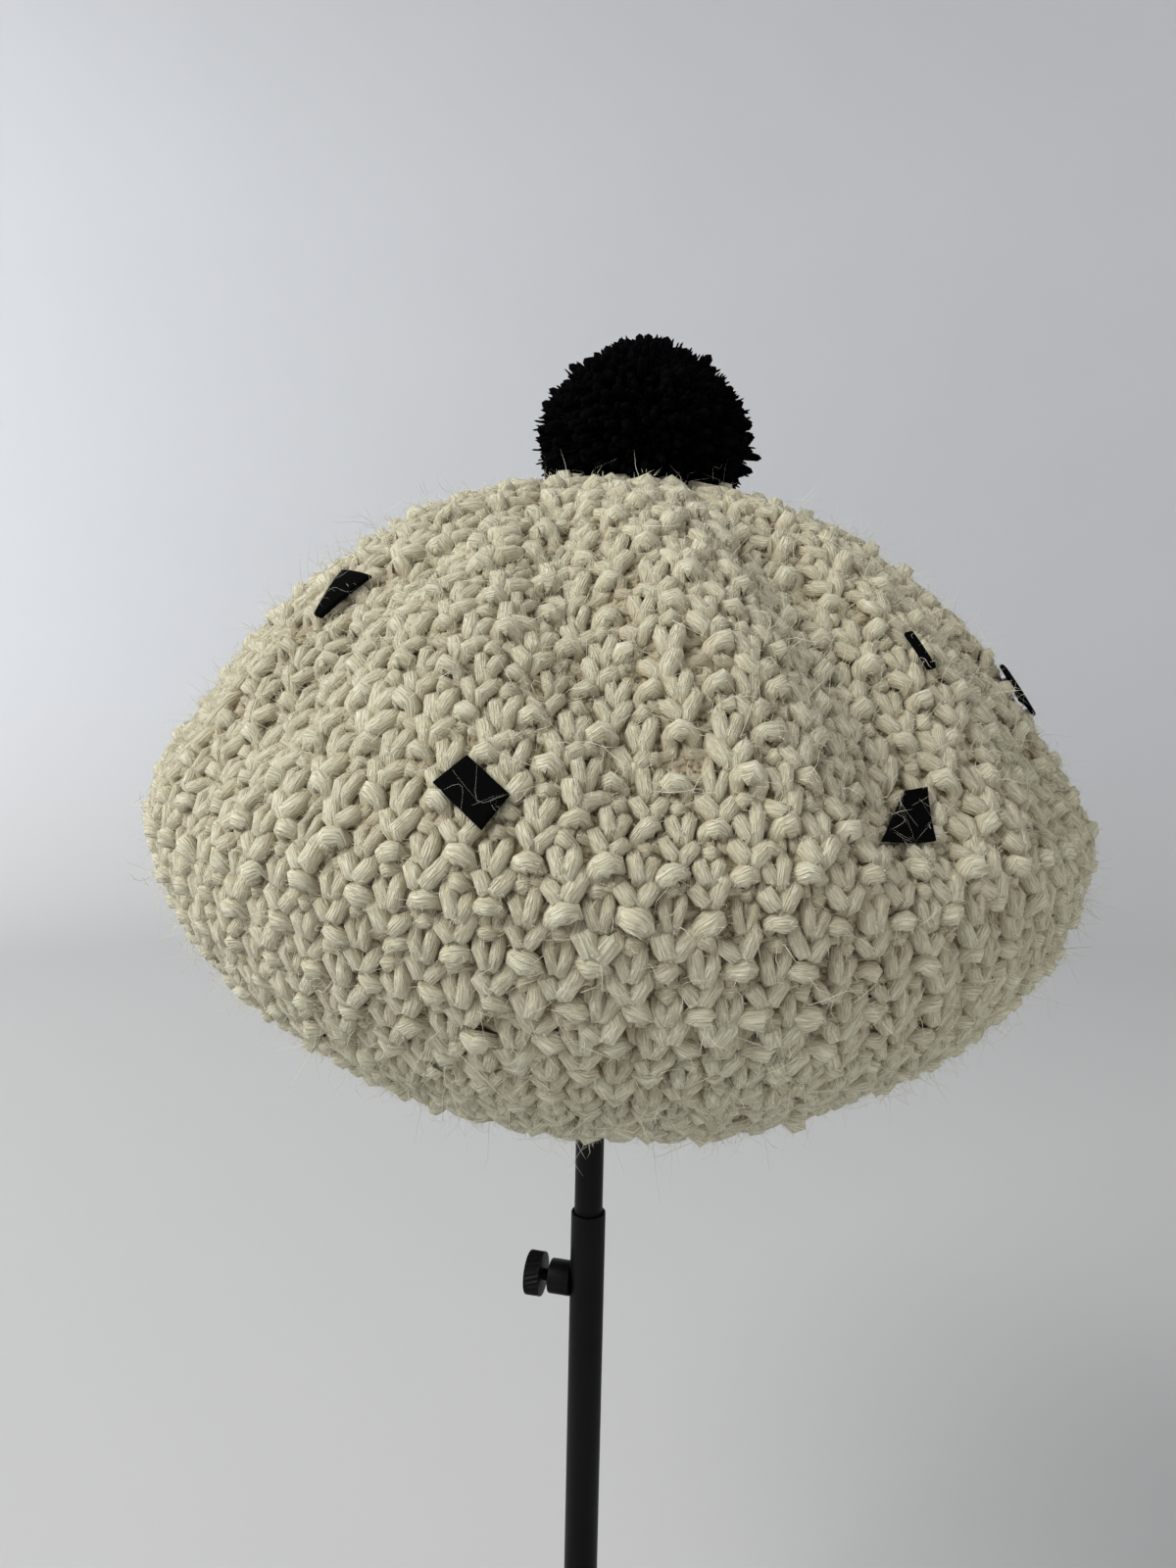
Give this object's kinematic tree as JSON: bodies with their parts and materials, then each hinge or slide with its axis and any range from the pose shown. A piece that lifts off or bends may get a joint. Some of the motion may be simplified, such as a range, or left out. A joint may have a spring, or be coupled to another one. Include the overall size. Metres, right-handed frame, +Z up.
{
  "type": "knit beret on a hat stand",
  "caption": "Chunky cream knit beret in a moss stitch, hollow with an open underside, with a black wool pompom and small felt patches, held up on a black telescoping hat stand.",
  "frame": {"origin": "centre of the stand's foot, on its underside, where it meets the table", "axes": "+Z up along the stand's pole; +X to the right and -Y to the front as the beret is shown"},
  "size_m": [0.2694, 0.2698, 0.483],
  "materials": {
    "cream_knit": "chunky soft-spun cream wool, fuzzy, knitted in a double moss stitch",
    "black_wool": "cut black wool yarn, matte",
    "black_felt": "thin matte black felt",
    "black_plastic": "matte moulded black",
    "black_paint": "satin black paint on steel",
    "black_screw": "blackened knurled metal"
  },
  "bodies": {
    "root": {"crown": "cream_knit", "pompom": "black_wool", "patch_upper_left": "black_felt", "patch_centre": "black_felt", "patch_right": "black_felt", "patch_fold": "black_felt", "patch_side": "black_felt", "stand_head": "black_plastic", "inner_rod": "black_paint", "outer_tube": "black_paint", "thumb_screw": "black_screw", "base_plate": "black_paint"}
  },
  "joints": []
}
